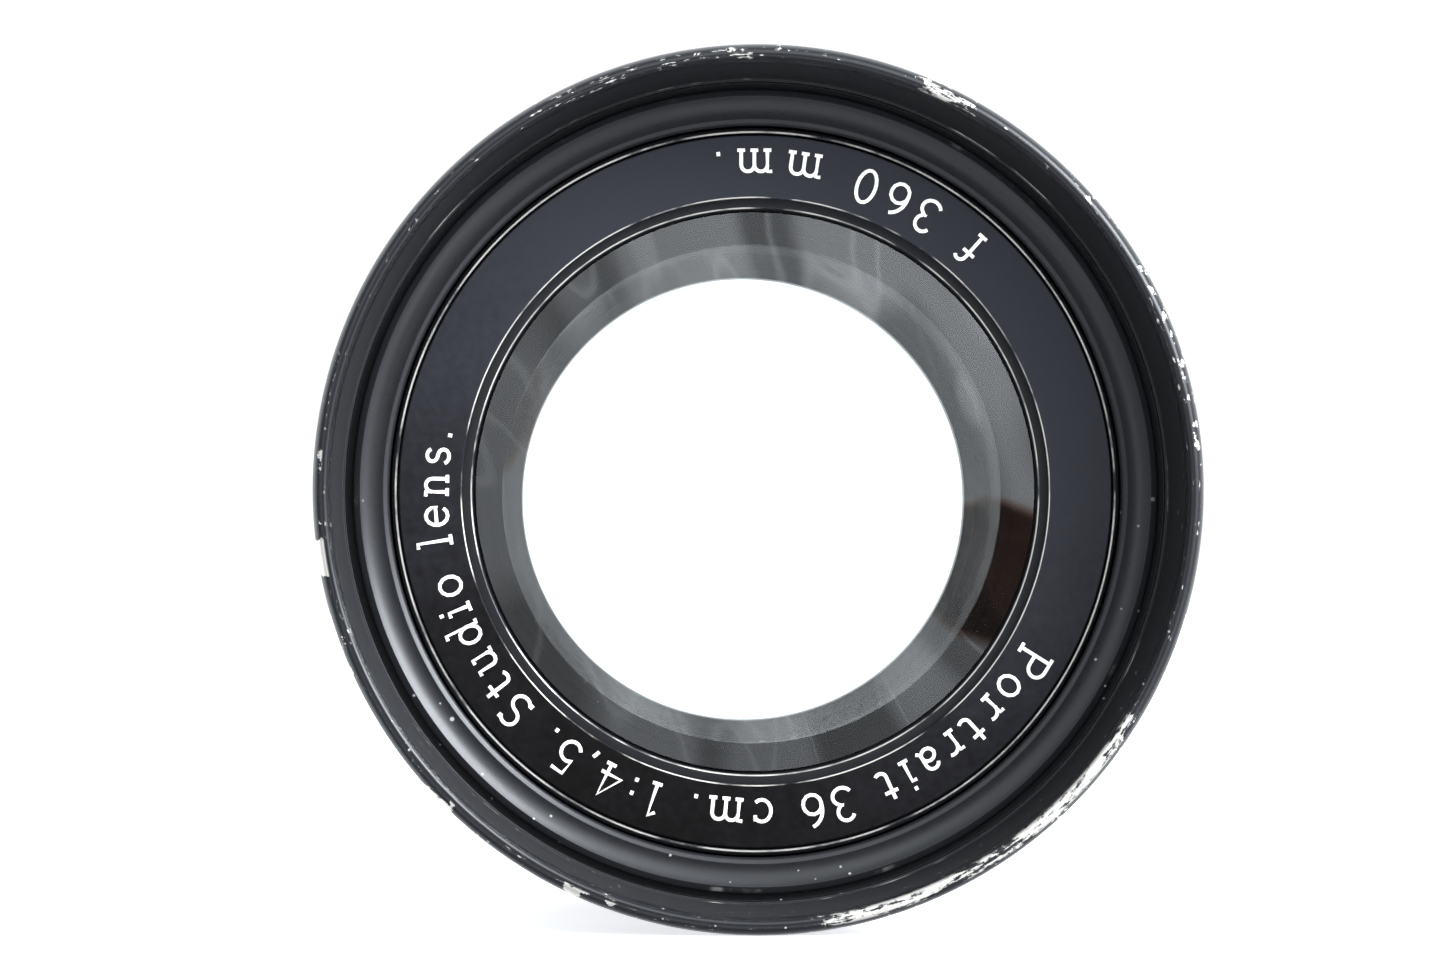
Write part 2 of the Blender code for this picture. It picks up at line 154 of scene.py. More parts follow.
def turnPiece(name, outline, steps=256, closed=True, sweep=360, start=0):
    # the outline of (radius, station) is drawn point by point, then spun about the optical axis
    deselect()
    radius, station = outline[0]
    bpy.ops.mesh.primitive_plane_add(size=mm, location=(radius * mm, frontY + station * mm, 0))
    piece = bpy.context.object
    piece.name = name
    bpy.ops.object.mode_set(mode="EDIT")
    bpy.ops.mesh.select_mode(type="VERT")
    bpy.ops.mesh.select_all(action="SELECT")
    bpy.ops.mesh.merge(type="CENTER")
    ring = outline + outline[:1] if closed else outline
    for (r, s), (nextR, nextS) in zip(ring, ring[1:]):
        move = ((nextR - r) * mm, (nextS - s) * mm, 0)
        bpy.ops.mesh.extrude_vertices_move(TRANSFORM_OT_translate={"value": move})
    bpy.ops.mesh.select_all(action="SELECT")
    bpy.ops.mesh.remove_doubles(threshold=0.000002)
    if sweep < 360:
        bpy.ops.mesh.edge_face_add()
    if start:
        bpy.ops.transform.rotate(value=math.radians(start), orient_axis="Y", center_override=(0, 0, 0))
    bpy.ops.mesh.spin(steps=steps, angle=math.radians(sweep), center=(0, 0, 0), axis=(0, -1, 0))
    return settle(piece)


# Shader maths


class Value:  # a number in a material, so that expressions on it add their own Math nodes
    def __init__(self, book, socket):
        self.book = book
        self.socket = socket

    def __add__(self, other):
        return self.book.maths("ADD", self, other)

    def __sub__(self, other):
        return self.book.maths("SUBTRACT", self, other)

    def __rsub__(self, other):
        return self.book.maths("SUBTRACT", other, self)

    def __mul__(self, other):
        return self.book.maths("MULTIPLY", self, other)

    def __truediv__(self, other):
        return self.book.maths("DIVIDE", self, other)

    __radd__ = __add__
    __rmul__ = __mul__


class Recipe:  # one material, or the surroundings, as an expression
    def __init__(self, owner, fixed=None):
        owner.use_nodes = True
        self.owner = owner
        self.nodes = owner.node_tree.nodes
        self.links = owner.node_tree.links
        self.shader = self.nodes.get("Principled BSDF") or self.nodes.get("Background")
        for socket, value in (fixed or {}).items():
            self.shader.inputs[socket].default_value = value

    def add(self, kind, settings=None, values=None, output=0):
        node = self.nodes.new("ShaderNode" + kind)
        for key, value in (settings or {}).items():
            setattr(node, key, value)
        for key, value in (values or {}).items():
            self.feed(node.inputs[key], value)
        return Value(self, node.outputs[output])

    def feed(self, socket, value):
        if isinstance(value, Value):
            self.links.new(value.socket, socket)
        else:
            socket.default_value = value

    def set(self, socket, value):
        self.feed(self.shader.inputs[socket], value)

    def maths(self, operation, *values):
        return self.add("Math", {"operation": operation}, dict(enumerate(values)))

    def place(self, kind="Object"):
        return self.add("TexCoord", output=kind)

    def parts(self, vector):
        split = self.add("SeparateXYZ", values={0: vector})
        return [Value(self, output) for output in split.socket.node.outputs]

    def smooth(self, value, low, high):  # 0 below low, 1 above high
        settings = {"interpolation_type": "SMOOTHSTEP"}
        return self.add("MapRange", settings, {"Value": value, "From Min": low, "From Max": high})

    def noise(self, vector, scale, detail=3, rough=0.55):
        values = {"Vector": vector, "Scale": scale, "Detail": detail, "Roughness": rough}
        return self.add("TexNoise", {}, values)

    def specks(self, vector, scale, share, size):  # small round flecks in a share of the cells
        cell = self.add("TexVoronoi", {}, {"Vector": vector, "Scale": scale})
        odds = self.parts(Value(self, cell.socket.node.outputs["Color"]))[0]
        return self.smooth(odds, 1 - share, 1 - share + 0.001) * (1 - self.smooth(cell, size * 0.6, size))

    def band(self, value, centre, half):
        return 1 - self.smooth(self.maths("ABSOLUTE", value - centre), half * 0.4, half)

    def colour(self, mask, first, second):
        values = {0: mask, 6: first, 7: second}
        return self.add("Mix", {"data_type": "RGBA"}, values, output=2)

    def bump(self, height, strength, distance):
        values = {"Height": height, "Strength": strength, "Distance": distance}
        self.set("Normal", self.add("Bump", {}, values))

    def polar(self):  # radius and station in mm, and the direction from the axis as cosine and sine
        x, y, z = self.parts(self.place())
        radius = self.maths("SQRT", x * x + z * z)
        return radius / mm, (y - frontY) / mm, x / radius, z / radius


def material(name, fixed):
    return Recipe(bpy.data.materials.new(name), fixed)


paint = {
    "lacquer": (0.0085, 0.0088, 0.0105, 1),
    "worn": (0.78, 0.75, 0.69, 1),
    "dust": (0.42, 0.41, 0.40, 1),
    "satin": (0.0025, 0.0018, 0.0018, 1),
    # lighter bluish grey painted on the satin ring's upper and +X side: a painted sheen standing in for reflected
    # light
    "paintedSheen": (0.021, 0.022, 0.027, 1),
    "filling": (0.94, 0.91, 0.87, 1),
    "inner": (0.008, 0.008, 0.009, 1),
    "blade": (0.02, 0.02, 0.022, 1),
    "steel": (0.3, 0.3, 0.32, 1),
    "clear": (0.985, 0.995, 0.99, 1),
    "speck": (0.03, 0.03, 0.03, 1),
}


coat = {
    "mirror": {"satin": 0.14, "scuffed": 0.4, "lacquer": 0.5},
    "fineScale": 900,
    "broadScale": 90,
    "wornMetal": 0.8,
    "wornDepth": -0.8,
    "bump": 0.12,
    "depth": 0.0002,
}
# lays the satin ring's painted sheen: lighter towards +X and the top, plus random broad and fine tone
paintedSheen = {"across": 0.35, "up": 0.8, "broad": 0.5, "fine": 0.7, "limits": (-0.45, 1.15)}
flecks = {"lower": (0.5, -0.8), "small": (800, 0.07, 0.2), "large": (360, 0.03, 0.15), "strength": 0.7}


def lacquer(name, edges, scuffs=None, base="lacquer", gloss=0.3):
    # edges: (radius, station, half width, how bare); scuffs: chips and scratches on the front bead, and dust
    mirror = coat["mirror"]["scuffed" if scuffs else base]
    recipe = material(name, {"Specular IOR Level": mirror})
    radius, station, across, up = recipe.polar()
    spot = recipe.place()
    fine = recipe.noise(spot, coat["fineScale"], 4, 0.6)
    broad = recipe.noise(spot, coat["broadScale"], 4, 0.6)
    wear = 0.0
    for r, s, half, bare in edges:
        line = recipe.band(radius, r, half) * recipe.band(station, s, half * 2)
        patchy = recipe.smooth(broad, 0.62 - 0.3 * bare, 0.82 - 0.3 * bare)
        wear = line * patchy * (0.35 + 0.5 * bare) + wear
    if scuffs:
        chipped, scratched = 0.0, 0.0
        for angle, half, atRim, atCrest in scuffs["patches"]:
            turn = math.radians(angle)
            facing = across * math.cos(turn) + up * math.sin(turn)
            edge = math.cos(math.radians(half))
            here = recipe.smooth(facing, edge, edge + (1 - edge) * 0.7)
            chipped = here * atRim + chipped
            scratched = here * atCrest + scratched
        clusters = recipe.smooth(broad, *scuffs["clusterLimits"]) * scuffs["clusterPull"]
        chips = recipe.noise(spot, scuffs["chipScale"], 5, 0.66) + chipped * clusters
        rim = recipe.smooth(radius, scuffs["edgeR"] - 0.4, scuffs["edgeR"])
        rim = rim * recipe.smooth(station, scuffs["rear"], scuffs["rear"] - 1.5)
        along, inwards = scuffs["scratchScale"]
        around = recipe.add("CombineXYZ", {}, {0: across * along, 1: up * along, 2: radius * inwards})
        speckle = (fine - 0.5) * scuffs["speckle"]
        scratches = recipe.noise(around, 1.0, 6, 0.68) + scratched * scuffs["scratchPull"] + speckle
        crest = recipe.smooth(station, scuffs["crest"] + 0.7, scuffs["crest"] + 0.15)
        chips = recipe.smooth(chips, *scuffs["chipLimits"]) * rim
        scratches = recipe.smooth(scratches, *scuffs["scratchLimits"]) * crest * 0.8
        wear = recipe.maths("MAXIMUM", recipe.maths("MAXIMUM", wear, chips), scratches)
    ground = paint[base]
    rough = fine * 0.14 + (gloss - 0.07) + wear * 0.12
    if scuffs:
        low = recipe.smooth(up, *flecks["lower"])  # dust lies in the lower half
        dust = recipe.specks(spot, *flecks["small"]) + recipe.specks(spot, *flecks["large"])
        dust = recipe.maths("MINIMUM", dust * low * flecks["strength"], 1.0)
        ground = recipe.colour(dust, ground, paint["dust"])
        inside = recipe.smooth(radius, scuffs["dullR"], scuffs["dullR"] + 0.3)
        inside = inside * recipe.smooth(station, scuffs["crest"] + 1, scuffs["crest"] + 3)
        rough = rough + inside * 0.4  # the inside of the hood has a duller coat than its bead
    if base == "satin":
        # painted sheen: the ring's colour goes from warm near-black to a lighter bluish grey towards the top and
        # the +X side, standing in for reflected light; the noise adds some random tone
        sheenMix = across * paintedSheen["across"] + up * paintedSheen["up"] + broad * paintedSheen["broad"] + fine * paintedSheen["fine"]
        ground = recipe.colour(recipe.smooth(sheenMix, *paintedSheen["limits"]), paint["satin"], paint["paintedSheen"])
    recipe.set("Base Color", recipe.colour(recipe.maths("MINIMUM", wear, 1.0), ground, paint["worn"]))
    recipe.set("Metallic", wear * coat["wornMetal"])
    recipe.set("Roughness", rough)
    recipe.bump(fine * 0.3 + broad + wear * coat["wornDepth"], coat["bump"], coat["depth"])
    return recipe.owner


def plainFinish(name, colour, roughness, metallic=0.0, grain=600, depth=0.08):
    recipe = material(name, {"Base Color": colour, "Metallic": metallic})
    grainy = recipe.noise(recipe.place(), grain, 4, 0.6)
    recipe.set("Roughness", grainy * 0.2 + (roughness - 0.1))
    recipe.bump(grainy, depth, coat["depth"])
    return recipe.owner


def polishedGlass(name, index):
    fixed = {"Transmission Weight": 1.0, "IOR": index, "Roughness": 0.0, "Specular IOR Level": 0.7}
    recipe = material(name, fixed)
    dots = recipe.specks(recipe.place(), 75, 0.03, 0.035)
    recipe.set("Base Color", recipe.colour(dots, paint["clear"], paint["speck"]))
    return recipe.owner


innerBlack = plainFinish("innerBlack", paint["inner"], 0.9, depth=0.0)
innerBlack.node_tree.nodes["Principled BSDF"].inputs["Specular IOR Level"].default_value = 0.0
filling = plainFinish("letterFilling", paint["filling"], 0.55, grain=1500, depth=0.2)
bladeBlack = plainFinish("bladeBlack", paint["blade"], 0.42, metallic=0.6, grain=300)
screwSteel = plainFinish("screwSteel", paint["steel"], 0.36, metallic=1.0, grain=900)
print("finishes ready")


def blacken(piece, inside):  # the faces that the test picks, by radius and station, get the matt inner black
    piece.data.materials.append(innerBlack)
    for face in piece.data.polygons:
        if inside(math.hypot(face.center.x, face.center.z) / mm, (face.center.y - frontY) / mm):
            face.material_index = 1


# Camera: in front, a little left of the axis and below it

view = {"back": 712.4, "left": 20.3, "below": 12.7, "yaw": 1.232, "pitch": 1.128, "focal": 121.5}
cameraData = bpy.data.cameras.new("camera")
cameraData.lens = view["focal"]
cameraData.sensor_width = 36
cameraData.clip_end = 30
camera = bpy.data.objects.new("camera", cameraData)
camera.location = (-view["left"] * mm, frontY - view["back"] * mm, -view["below"] * mm)
camera.rotation_euler = (math.radians(90 + view["pitch"]), 0, math.radians(-view["yaw"]))
bpy.context.scene.collection.objects.link(camera)
bpy.context.scene.camera = camera


# Hood

hood = {
    "crestR": 62.4,
    "beadDepth": 2.6,
    "beadEnd": 5.1,
    "wall": (61.4, 60.6),
    "step": 2.6,
    "groove": (60.2, 4.2),
    "lip": (58.6, 2.4),
    "coveR": 5.4,
    "coveTurn": 38,
    "wellR": 54.7,
    "clearR": 53.8,
    "skirt": (61.7, 61.0, 9.0),  # radius at its front and rear, and where it starts behind the bead's front
    "tuck": (2.1, 1.8),
    "collarR": 58.8,
}
scuffs = {
    "chipScale": 460,
    "chipLimits": (0.655, 0.69),
    "clusterLimits": (0.40, 0.58),
    "clusterPull": 0.17,
    "scratchScale": (16, 2.0),  # along the bead and across it
    "scratchLimits": (0.64, 0.73),
    "scratchPull": 0.12,
    "speckle": 0.45,
    "patches": [  # angle from +X towards +Z, half angle, how chipped at the rim, how scratched on the crest
        (-56, 30, 0.25, 1.4),
        (-42, 12, 0.4, 0.7),
        (-74, 9, 0.2, 0.8),
        (-113, 4, 2.0, 0.5),
        (-136, 3, 1.6, 0.0),
        (-158, 3, 2.0, 0.0),
        (-171, 3, 2.0, 0.3),
        (177, 3, 1.8, 0.2),
        (104, 22, 0.3, 0.65),
        (64, 5, 1.4, 1.1),
        (24, 26, 0.6, 0.1),
    ],
}


def makeHood():
    rimR, front, rear = extent("front_hood")
    seat = extent("main_barrel")[1] - 0.3
    crestR, beadDepth = hood["crestR"], hood["beadDepth"]
    bead = bow(crestR, front + beadDepth, rimR - crestR, beadDepth, -90, 0, 12)
    tuckR, tuckS = hood["tuck"]
    tuck = bow(rimR - tuckR, front + hood["beadEnd"], tuckR, tuckS, 0, 90, 8)
    skirtFrontR, skirtRearR, skirtStart = hood["skirt"]
    skirt = [(skirtFrontR, front + skirtStart), (skirtRearR, rear), (hood["collarR"], rear)]
    coveR, coveTurn = hood["coveR"], hood["coveTurn"]
    floor = hood["lip"][1] + coveR * (1 - math.cos(math.radians(coveTurn)))
    clearR = hood["clearR"]
    well = [(hood["collarR"], seat), (clearR, seat), (clearR, floor + 0.7), (clearR + 0.3, floor + 0.3)]
    cove = bow(hood["wellR"], floor - coveR, coveR, coveR, 90, 90 - coveTurn, 14)
    lipR, lipS = hood["lip"]
    rollOver = bow(lipR - 0.2, lipS + 0.62, 0.75, 0.6, -60, 0, 5)
    grooveR, grooveS = hood["groove"]
    wallFrontR, wallRearR = hood["wall"]
    groove = [(lipR + 0.55, grooveS), (grooveR, grooveS), (grooveR, hood["step"]), (wallRearR, hood["step"])]
    wall = [(wallFrontR, front + 1.7)] + bow(crestR, front + 1.7, 1.0, 1.7, 180, 262, 8)
    outline = bead + tuck + skirt + well + cove + rollOver + groove + wall
    piece = turnPiece("frontHood", soften(outline, 0.12), 360)
    edges = [(wallRearR, hood["step"], 0.16, 0.25), (lipR, lipS, 0.4, 0.0)]
    worn = {"edgeR": rimR - 1.0, "rear": front + hood["beadEnd"] - 0.6, "crest": front, "dullR": grooveR}
    finish = lacquer("hoodLacquer", edges, scuffs | worn)
    hang(piece, "barrel", "black_lacquered_brass", finish, "front_hood")


makeHood()
print("hood turned")


# Front cell, engraved ring and the ring that holds the glass

cell = {
    "headR": 53.5,
    "ringSeatR": 52.7,
    "retainerSeatR": 47.3,
    "glassSeatR": 42.8,
    "lipR": 40.5,
    "lipDepth": 2.5,
    "threadR": 52.1,
    "tubeR": (49.8, 45.2),  # inside, behind and beside the glass
    "tubeStart": 13.5,
}
nameRing = {"innerR": 43.2}
retainer = {"innerR": (41.9, 41.3), "bevel": 0.7}


def makeFrontCell():
    front, rear = extent("front_cell")[1:]
    shoulder = extent("main_barrel")[1] - 0.3
    ringFloor = extent("name_ring")[2] + 0.3
    glassFloor = extent("front_retaining_ring")[2] + 0.3
    lip = extent("front_flint_lens")[2] + 0.37
    outline = [
        (cell["ringSeatR"], front),
        (cell["headR"] - 0.4, front),
        (cell["headR"], front + 0.4),
        (cell["headR"], shoulder),
        (cell["threadR"], shoulder),
        (cell["threadR"], rear),
        (cell["tubeR"][0], rear),
        (cell["tubeR"][0], cell["tubeStart"]),
        (cell["tubeR"][1], cell["tubeStart"]),
        (cell["tubeR"][1], lip + cell["lipDepth"]),
        (cell["lipR"], lip + cell["lipDepth"]),
        (cell["lipR"], lip),
        (cell["glassSeatR"], lip),
        (cell["glassSeatR"], glassFloor),
        (cell["retainerSeatR"], glassFloor),
        (cell["retainerSeatR"], ringFloor),
        (cell["ringSeatR"], ringFloor),
    ]
    piece = turnPiece("frontCell", soften(outline, 0.1))
    finish = lacquer("cellLacquer", [(cell["headR"] - 0.62, front, 0.16, 0.8)])
    hang(piece, "barrel", "black_lacquered_brass", finish, "front_cell")
    blacken(piece, lambda radius, station: radius < cell["retainerSeatR"] - 0.1 and station > ringFloor + 0.1)


def makeFrontRings():
    outer, front, rear = extent("name_ring")
    ring = turnPiece("nameRing", soften(flatRing(nameRing["innerR"], outer, front, rear), 0.16))
    finish = lacquer("ringSatin", [(nameRing["innerR"] + 0.06, front, 0.16, 0.8)], base="satin", gloss=0.4)
    hang(ring, "barrel", "engraved_satin_black", finish, "name_ring")
    outer, front, rear = extent("front_retaining_ring")
    bevelR, inner = retainer["innerR"]
    bevelS = front + retainer["bevel"]
    bevelled = [(bevelR, front), (outer, front), (outer, rear), (inner, rear), (inner, bevelS)]
    holder = turnPiece("frontRetainingRing", soften(bevelled, 0.1))
    finish = lacquer("retainerLacquer", [(bevelR - 0.05, front, 0.14, 0.8)], gloss=0.34)
    hang(holder, "barrel", "black_lacquered_brass", finish, "front_retaining_ring")


makeFrontCell()
makeFrontRings()
print("front cell and rings turned")


# Engraved and filled lettering, with one stroke width and slab serifs

letterWidth = 1.16


def foot(x, y, half=0.13):
    return [(x - half, y), (x + half, y)]


stem = [(0.02, 0.64), (0.14, 0.64), (0.14, 0)]
arch = bow(0.31, 0.44, 0.17, 0.2, 180, 0) + [(0.48, 0)]
letters = {  # width and strokes, for a height of 1
    "P": (0.66, [
        [(0.14, 0), (0.14, 1)],
        [(0.0, 1), (0.4, 1)] + bow(0.4, 0.74, 0.24, 0.26, 90, -90) + [(0.14, 0.48)],
        foot(0.14, 0),
    ]),
    "S": (0.56, [
        bow(0.27, 0.75, 0.22, 0.25, 30, 270) + bow(0.27, 0.25, 0.24, 0.25, 90, -150),
        [(0.46, 0.86), (0.46, 1)],
        [(0.05, 0.14), (0.05, 0)],
    ]),
    "a": (0.5, [
        bow(0.22, 0.45, 0.17, 0.2, 160, 0) + [(0.39, 0.08), (0.48, 0)],
        bow(0.21, 0.19, 0.18, 0.19, 0, 360),
    ]),
    "c": (0.5, [bow(0.27, 0.33, 0.24, 0.33, 45, 310), [(0.44, 0.46), (0.44, 0.64)]]),
    "d": (0.58, [
        bow(0.26, 0.32, 0.22, 0.32, 0, 360),
        [(0.36, 1), (0.48, 1), (0.48, 0), (0.58, 0)],
    ]),
    "e": (0.52, [[(0.03, 0.36), (0.5, 0.36)] + bow(0.27, 0.34, 0.24, 0.33, 0, 320)]),
    "f": (0.44, [
        [(0.17, 0), (0.17, 0.78)] + bow(0.32, 0.78, 0.15, 0.2, 180, 40),
        [(0.0, 0.64), (0.36, 0.64)],
        foot(0.17, 0),
    ]),
    "i": (0.3, [
        [(0.02, 0.64), (0.15, 0.64), (0.15, 0)],
        foot(0.15, 0),
        [(0.15, 0.82), (0.15, 0.94)],
    ]),
    "l": (0.3, [[(0.02, 1), (0.15, 1), (0.15, 0)], foot(0.15, 0)]),
    "m": (0.96, [
        stem,
        arch,
        bow(0.65, 0.44, 0.17, 0.2, 180, 0) + [(0.82, 0)],
        foot(0.14, 0, 0.1),
        foot(0.48, 0, 0.1),
        foot(0.82, 0, 0.1),
    ]),
    "n": (0.62, [stem, arch, foot(0.14, 0, 0.1), foot(0.48, 0, 0.1)]),
    "o": (0.54, [bow(0.27, 0.33, 0.24, 0.33, 0, 360)]),
    "r": (0.48, [stem, bow(0.34, 0.4, 0.2, 0.24, 180, 60), foot(0.14, 0)]),
    "s": (0.46, [bow(0.22, 0.5, 0.16, 0.16, 20, 270) + bow(0.22, 0.17, 0.18, 0.17, 90, -160)]),
    "t": (0.42, [
        [(0.18, 0.88), (0.18, 0.2)] + bow(0.33, 0.16, 0.15, 0.15, 180, 320),
        [(0.02, 0.64), (0.38, 0.64)],
    ]),
    "u": (0.6, [
        [(0.02, 0.64), (0.13, 0.64)] + bow(0.3, 0.18, 0.17, 0.18, 180, 360),
        [(0.36, 0.64), (0.47, 0.64), (0.47, 0), (0.58, 0)],
    ]),
    "0": (0.56, [bow(0.28, 0.5, 0.24, 0.5, 0, 360, 20)]),
    "1": (0.4, [[(0.04, 0.84), (0.2, 1), (0.2, 0)], foot(0.2, 0)]),
    "2": (0.54, [bow(0.26, 0.73, 0.22, 0.27, 165, -30) + [(0.04, 0), (0.48, 0), (0.48, 0.12)]]),
    "3": (0.54, [
        bow(0.25, 0.75, 0.21, 0.25, 155, -80) + bow(0.25, 0.26, 0.25, 0.26, 80, -155),
    ]),
    "4": (0.6, [[(0.42, 0), (0.42, 1), (0.02, 0.3), (0.58, 0.3)], foot(0.42, 0)]),
    "5": (0.54, [
        [(0.46, 1), (0.12, 1), (0.09, 0.54)] + bow(0.25, 0.32, 0.25, 0.31, 125, -150),
    ]),
    "6": (0.56, [bow(0.28, 0.3, 0.24, 0.3, 0, 360), bow(0.46, 0.42, 0.42, 0.56, 105, 195)]),
    "8": (0.54, [bow(0.27, 0.76, 0.2, 0.24, 0, 360), bow(0.27, 0.27, 0.24, 0.27, 0, 360)]),
    "9": (0.56, [bow(0.28, 0.7, 0.24, 0.3, 0, 360), bow(0.1, 0.58, 0.42, 0.56, -75, 15)]),
    ".": (0.2, [[(0.1, 0.0), (0.1, 0.12)]]),
    ",": (0.2, [[(0.12, 0.08), (0.05, -0.14)]]),
    ":": (0.24, [[(0.12, 0.04), (0.12, 0.16)], [(0.12, 0.46), (0.12, 0.58)]]),
    " ": (0.3, []),
    "|": (0.0, [[(0, 0), (0, 0.62)]]),  # a scale mark
}


def placeLetter(curve, strokes, where, height):
    for stroke in strokes:
        line = curve.splines.new("POLY")
        line.points.add(len(stroke) - 1)
        for point, (x, y) in zip(line.points, stroke):
            point.co = (*(where @ Vector((x * height * letterWidth, y * height, 0))), 1)


def engraving(name, marks, stroke, height):
    # marks: (letter, middle of its baseline, its right, its up), all sunk so that a thin skin shows
    sink = 0.6 * stroke
    curve = bpy.data.curves.new(name, "CURVE")
    curve.dimensions = "3D"
    curve.bevel_depth = math.hypot(sink, stroke / 2) * mm
    curve.bevel_resolution = 2
    curve.use_fill_caps = True
    for letter, middle, right, up in marks:
        out = right.cross(up)
        width, strokes = letters[letter]
        corner = middle - right * (width * letterWidth * height / 2) * mm - out * sink * mm
        turn = Matrix((right, up, out)).transposed().to_4x4()
        placeLetter(curve, strokes, Matrix.Translation(corner) @ turn @ Matrix.Scale(mm, 4), height)
    made = bpy.data.objects.new(name, curve)
    bpy.context.scene.collection.objects.link(made)
    pick(made)
    bpy.ops.object.convert(target="MESH")
    return bpy.context.object


def spread(words, height, length):  # where each letter's middle is, evenly spaced to fill this length
    widths = [letters[letter][0] * letterWidth * height for letter in words]
    gap = (length - sum(widths)) / (len(words) - 1)
    places, run = [], 0.0
    for width in widths:
        places.append(run + width / 2)
        run += width + gap
    return places


inscription = {"height": 4.9, "stroke": 0.6, "middleR": 47.8}
runs = [
    {"words": "Portrait 36 cm. 1:4,5. Studio lens.", "first": -29.5, "last": -191, "outward": True},
    {"words": "f 360 mm.", "first": 47, "last": 97, "outward": False},
]


def makeInscription():
    front = extent("name_ring")[1]
    height = inscription["height"]
    middleR = inscription["middleR"]
    marks = []
    for run in runs:
        side = 1 if run["outward"] else -1
        span = math.radians(run["last"] - run["first"]) * middleR
        for letter, along in zip(run["words"], spread(run["words"], height, abs(span))):
            angle = math.radians(run["first"]) + math.copysign(along / middleR, span)
            outward = Vector((math.cos(angle), 0, math.sin(angle)))
            up = outward * side
            right = up.cross(Vector((0, -1, 0)))
            middle = outward * (middleR - side * height / 2) * mm
            middle.y = frontY + front * mm
            marks.append((letter, middle, right, up))
    piece = engraving("ringLettering", marks, inscription["stroke"], height)
    hang(piece, "barrel", "engraved_satin_black", filling)


makeInscription()
print("lettering engraved")


# Glasses: each cemented pair is one piece


def lensSurface(vertex, curve, edgeR, parts=14):
    sign = math.copysign(1, curve)
    radii = [edgeR * i / parts for i in range(parts + 1)]
    return [(r, vertex + curve - sign * math.sqrt(curve * curve - r * r)) for r in radii]


def makeGlass(name, *nodes):
    glass = glasses[name]
    edgeR = extent(nodes[0])[0]
    seat = []
    clearR = edgeR
    if "seat" in glass:  # the flat that a retaining ring bears on
        clearR, seatS = glass["seat"]
        seat = [(clearR, seatS), (edgeR, seatS)]
    outline = lensSurface(*glass["front"], clearR) + seat + lensSurface(*glass["rear"], edgeR)[::-1]
    piece = turnPiece(name, outline, 128, closed=False)
    hang(piece, "barrel", "lens_glass", polishedGlass(name + "Glass", glass["index"]), *nodes)
    blacken(piece, lambda radius, station: radius > clearR - 0.05)  # the ground edge is painted


glasses = {  # front and rear: vertex and radius of curvature, negative where the centre lies in front
    "frontPair": {"front": (0.0, 135.0), "rear": (23.5, 2089.0), "index": 1.608, "seat": (41.2, 7.85)},
    "middleGlass": {"front": (37.1, -290.0), "rear": (42.5, 102.0), "index": 1.7},
    "rearPair": {"front": (68.5, -4000.0), "rear": (86.4, -191.0), "index": 1.5},
}
makeGlass("frontPair", "front_crown_lens", "front_flint_lens")
makeGlass("middleGlass", "middle_element")
makeGlass("rearPair", "rear_crown_lens", "rear_flint_lens")
print("glasses ground")


# Rings and cells behind the front glass

middleCell = {"innerR": 36.3, "outerR": 39.5, "disc": (6.8, 10.8), "lipR": 34.5, "lipDepth": 1.5}
middleRetainer = {"innerR": (35.0, 34.3), "bevel": 0.9}
rearRetainer = {"innerR": (36.3, 37.2), "bevel": 0.9}


def makeInnerRings():
    inner, outer = middleCell["innerR"], middleCell["outerR"]
    discR, front, rear = extent("middle_cell")
    lipS = rear - middleCell["lipDepth"]
    discFront, discRear = (front + depth for depth in middleCell["disc"])
    outline = [
        (inner, front),
        (outer, front),
        (outer, discFront),
        (discR, discFront),
        (discR, discRear),
        (outer, discRear),
        (outer, rear),
        (middleCell["lipR"], rear),
        (middleCell["lipR"], lipS),
        (inner, lipS),
    ]
    piece = turnPiece("middleCell", soften(outline, 0.15))
    hang(piece, "barrel", "inner_matt_black", innerBlack, "middle_cell")
    outer, front, rear = extent("middle_retaining_ring")
    bevelR, inner = middleRetainer["innerR"]
    bevelS = front + middleRetainer["bevel"]
    outline = [(inner, bevelS), (bevelR, front), (outer, front), (outer, rear), (inner, rear)]
    piece = turnPiece("middleRetainingRing", soften(outline, 0.12))
    hang(piece, "barrel", "inner_matt_black", innerBlack, "middle_retaining_ring")
    outer, front, rear = extent("rear_retaining_ring")
    inner, bevelR = rearRetainer["innerR"]
    bevelS = rear - rearRetainer["bevel"]
    outline = [(inner, front), (outer, front), (outer, rear), (bevelR, rear), (inner, bevelS)]
    piece = turnPiece("rearRetainingRing", soften(outline, 0.12))
    finish = lacquer("rearRetainerLacquer", [(bevelR, rear, 0.25, 0.5)], gloss=0.34)
    hang(piece, "barrel", "black_lacquered_brass", finish, "rear_retaining_ring")


makeInnerRings()
for node, obj in frame["nodes"].items():
    obj.data.materials.clear()
    if node.startswith("iris_blade"):
        obj.data.materials.append(bladeBlack)
    elif "screw" in node:
        obj.data.materials.append(screwSteel)
    else:
        obj.data.materials.append(innerBlack)
print("inner rings turned")


# Barrel, aperture ring, flange and rear cell


def ribbed(piece, innerR, outerR, bands, steps, depth):
    # every third line of points in these bands is drawn in towards the axis, which leaves straight ribs
    turn = 2 * math.pi / steps

    def inRib(point):
        station = (point.y - frontY) / mm
        radius = math.hypot(point.x, point.z) / mm
        line = round(math.atan2(point.z, point.x) / turn) % 3
        return line == 0 and innerR < radius < outerR and any(a < station < b for a, b in bands)

    selectPoints(piece, inRib)
    bpy.ops.transform.resize(value=(1 - depth / outerR, 1, 1 - depth / outerR), center_override=(0, 0, 0))
    bpy.ops.object.mode_set(mode="OBJECT")


